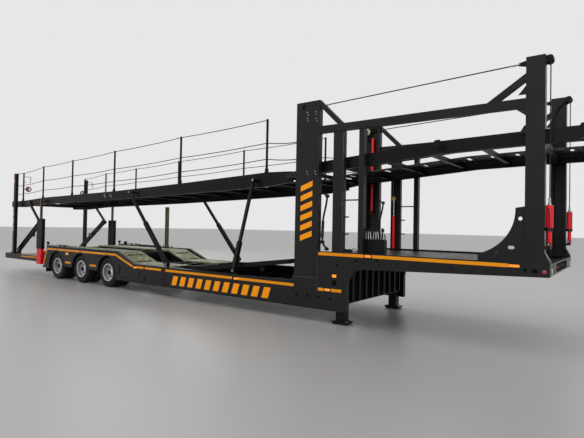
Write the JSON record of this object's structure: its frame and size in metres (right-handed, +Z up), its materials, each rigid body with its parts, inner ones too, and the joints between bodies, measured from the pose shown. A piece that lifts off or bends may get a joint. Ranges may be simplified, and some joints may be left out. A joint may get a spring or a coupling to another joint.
{
  "type": "car transporter semi-trailer",
  "caption": "Low two-level car transporter semi-trailer with a dropped well, gooseneck, tilting rear upper deck, lifting front deck and twin-tyred axles.",
  "frame": {"origin": "on the ground under the middle of the whole trailer", "axes": "+X forward towards the tractor, +Y to the trailer's left, +Z up"},
  "size_m": [17.94, 2.55, 4.046],
  "materials": {
    "frame_paint": "satin dark grey paint",
    "black_paint": "satin black paint",
    "galvanised": "hot-dip galvanised steel",
    "rim_silver": "silver wheel paint",
    "tyre_rubber": "matt tyre rubber",
    "soft_rubber": "matt rubber",
    "red_paint": "gloss red paint",
    "bare_steel": "machined steel",
    "lamp_amber": "amber lens",
    "prop_steel": "worn brown paint",
    "chromed": "chromed ram rod",
    "tape_orange": "orange reflective tape",
    "lamp_red": "red lens",
    "cap_yellow": "yellow reflective plastic",
    "cream_plastic": "cream nylon",
    "wire_rope": "dark wire rope"
  },
  "bodies": {
    "chassis": {"side_frame_right": "frame_paint", "side_frame_left": "frame_paint", "well_frame": "black_paint", "rear_floor_frame": "black_paint", "axle_deck": "black_paint", "gooseneck_deck": "black_paint", "kingpin": "bare_steel", "front_cross_beam": "frame_paint", "mid_pillar_right": "frame_paint", "mid_pillar_left": "frame_paint", "front_pillar_right": "frame_paint", "front_pillar_left": "frame_paint", "top_rail_right": "frame_paint", "top_rail_left": "frame_paint", "fixed_lanes": "galvanised", "rear_extension": "frame_paint", "rear_posts": "black_paint", "lift_rams": "red_paint", "axles": "black_paint", "air_springs": "soft_rubber", "landing_legs": "black_paint", "mudflaps": "soft_rubber", "valve_block": "black_paint", "marker_lamps": "lamp_amber", "prop_post": "prop_steel"},
    "rear_deck": {"rear_deck_frame": "black_paint", "rear_deck_lanes": "galvanised", "deck_handrails": "black_paint"},
    "front_deck": {"front_deck_frame": "black_paint", "front_deck_lanes": "galvanised"},
    "platform": {"tilt_platform": "galvanised"},
    "box_strut_pair": {"box_struts": "black_paint"},
    "box_rod_pair": {"box_strut_rods": "black_paint"},
    "pin_strut_pair": {"pin_strut_sleeves": "black_paint"},
    "pin_bar_pair": {"pin_struts": "black_paint"},
    "post_rod_pair": {"post_ram_rods": "chromed"},
    "lower_arm_pair": {"lower_arms": "black_paint"},
    "upper_arm_pair": {"upper_arms": "black_paint"},
    "lift_rod_pair": {"lift_rods": "black_paint"},
    "wheel_1_right": {"tyres_1_right": "tyre_rubber", "rims_1_right": "rim_silver"},
    "wheel_1_left": {"tyres_1_left": "tyre_rubber", "rims_1_left": "rim_silver"},
    "wheel_2_right": {"tyres_2_right": "tyre_rubber", "rims_2_right": "rim_silver"},
    "wheel_2_left": {"tyres_2_left": "tyre_rubber", "rims_2_left": "rim_silver"},
    "wheel_3_right": {"tyres_3_right": "tyre_rubber", "rims_3_right": "rim_silver"},
    "wheel_3_left": {"tyres_3_left": "tyre_rubber", "rims_3_left": "rim_silver"}
  },
  "joints": [
    {"name": "rear_deck_tilt", "type": "hinge", "parent": "chassis", "child": "rear_deck", "pos_m": [3.045, 0, 2.65], "axis": [0, -1, 0], "range_deg": [0, 5]},
    {"name": "front_deck_lift", "type": "slide", "parent": "chassis", "child": "front_deck", "axis": [0, 0, 1], "range_m": [-0.65, 0.2]},
    {"name": "platform_tilt", "type": "hinge", "parent": "chassis", "child": "platform", "pos_m": [-0.28, 0, 0.616], "axis": [0, -1, 0], "range_deg": [-5, 7]},
    {"name": "box_strut_swing", "type": "hinge", "parent": "chassis", "child": "box_strut_pair", "pos_m": [-0.385, 0, 0.76], "axis": [0, -1, 0], "range_deg": [0, 7.6]},
    {"name": "box_rod_slide", "type": "slide", "parent": "box_strut_pair", "child": "box_rod_pair", "axis": [0.6648, 0, -0.7471], "range_m": [0, 0.335]},
    {"name": "pin_strut_swing", "type": "hinge", "parent": "chassis", "child": "pin_strut_pair", "pos_m": [1.753, 0, 0.76], "axis": [0, 1, 0], "range_deg": [0, 0.8]},
    {"name": "pin_bar_slide", "type": "slide", "parent": "pin_strut_pair", "child": "pin_bar_pair", "axis": [-0.2615, 0, -0.9652], "range_m": [0, 0.07]},
    {"name": "lower_arm_swing", "type": "hinge", "parent": "chassis", "child": "lower_arm_pair", "pos_m": [-8.41, 0, 0.73], "axis": [0, 1, 0], "range_deg": [0, 20]},
    {"name": "upper_arm_fold", "type": "hinge", "parent": "lower_arm_pair", "child": "upper_arm_pair", "pos_m": [-6.88, 0, 1.72], "axis": [0, -1, 0], "range_deg": [0, 45.5]},
    {"name": "lift_rod_travel", "type": "slide", "parent": "chassis", "child": "lift_rod_pair", "axis": [0, 0, -1], "range_m": [0, 0.845]},
    {"name": "post_rod_travel", "type": "slide", "parent": "chassis", "child": "post_rod_pair", "axis": [0, 0, 1], "range_m": [-0.33, 0.11]},
    {"name": "wheel_1_right_spin", "type": "hinge", "parent": "chassis", "child": "wheel_1_right", "pos_m": [-2.8, -1, 0.388], "axis": [0, 1, 0], "continuous": true},
    {"name": "wheel_1_left_spin", "type": "hinge", "parent": "chassis", "child": "wheel_1_left", "pos_m": [-2.8, 1, 0.388], "axis": [0, 1, 0], "continuous": true},
    {"name": "wheel_2_right_spin", "type": "hinge", "parent": "chassis", "child": "wheel_2_right", "pos_m": [-4.13, -1, 0.388], "axis": [0, 1, 0], "continuous": true},
    {"name": "wheel_2_left_spin", "type": "hinge", "parent": "chassis", "child": "wheel_2_left", "pos_m": [-4.13, 1, 0.388], "axis": [0, 1, 0], "continuous": true},
    {"name": "wheel_3_right_spin", "type": "hinge", "parent": "chassis", "child": "wheel_3_right", "pos_m": [-5.46, -1, 0.388], "axis": [0, 1, 0], "continuous": true},
    {"name": "wheel_3_left_spin", "type": "hinge", "parent": "chassis", "child": "wheel_3_left", "pos_m": [-5.46, 1, 0.388], "axis": [0, 1, 0], "continuous": true}
  ],
  "couplings": [
    {"joint": "box_strut_swing", "follows": "rear_deck_tilt", "ratio": 1.4837},
    {"joint": "box_rod_slide", "follows": "rear_deck_tilt", "m_per_rad": 3.7707},
    {"joint": "pin_strut_swing", "follows": "rear_deck_tilt", "ratio": 0.1498},
    {"joint": "pin_bar_slide", "follows": "rear_deck_tilt", "m_per_rad": 0.7425},
    {"joint": "lower_arm_swing", "follows": "rear_deck_tilt", "ratio": 3.991},
    {"joint": "upper_arm_fold", "follows": "rear_deck_tilt", "ratio": 9.057},
    {"joint": "lift_rod_travel", "follows": "rear_deck_tilt", "m_per_rad": 9.615},
    {"joint": "post_rod_travel", "follows": "front_deck_lift", "ratio": 0.5}
  ]
}
